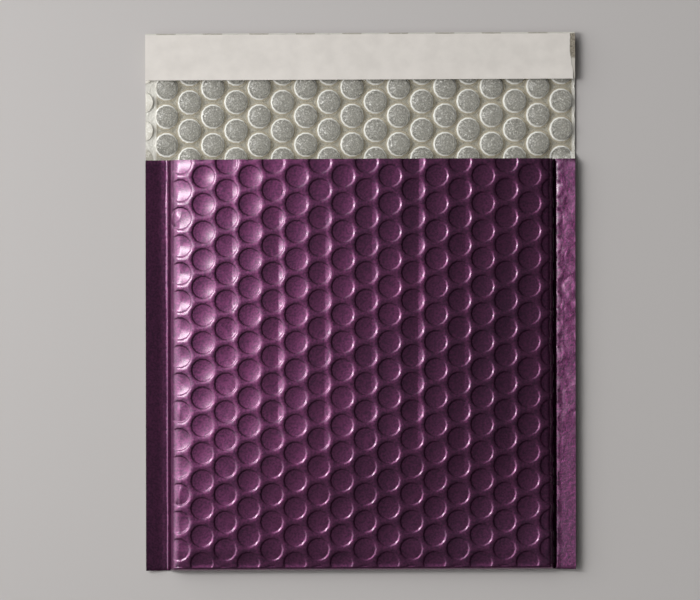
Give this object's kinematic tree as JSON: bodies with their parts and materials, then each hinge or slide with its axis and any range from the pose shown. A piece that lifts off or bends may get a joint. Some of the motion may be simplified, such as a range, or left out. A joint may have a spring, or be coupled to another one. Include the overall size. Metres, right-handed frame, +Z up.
{
  "type": "padded envelope",
  "caption": "Metallised bubble-lined padded envelope, empty and lying on its back with its sealing flap open.",
  "frame": {"origin": "on the surface that the envelope lies on, under the middle of its outline", "axes": "+X across the envelope, +Y from the bottom fold to the end of the open flap, +Z up out of the front panel"},
  "size_m": [0.18, 0.225, 0.0123],
  "materials": {
    "outer_film": "metallised polyester film, satin",
    "bubble_film": "clear polyethylene air-bubble film",
    "adhesive": "tacky hot-melt adhesive",
    "release_paper": "siliconised release paper, matt"
  },
  "bodies": {
    "root": {"outer_film": "outer_film", "bubble_lining": "bubble_film", "adhesive_strip": "adhesive", "release_liner": "release_paper"}
  },
  "joints": []
}
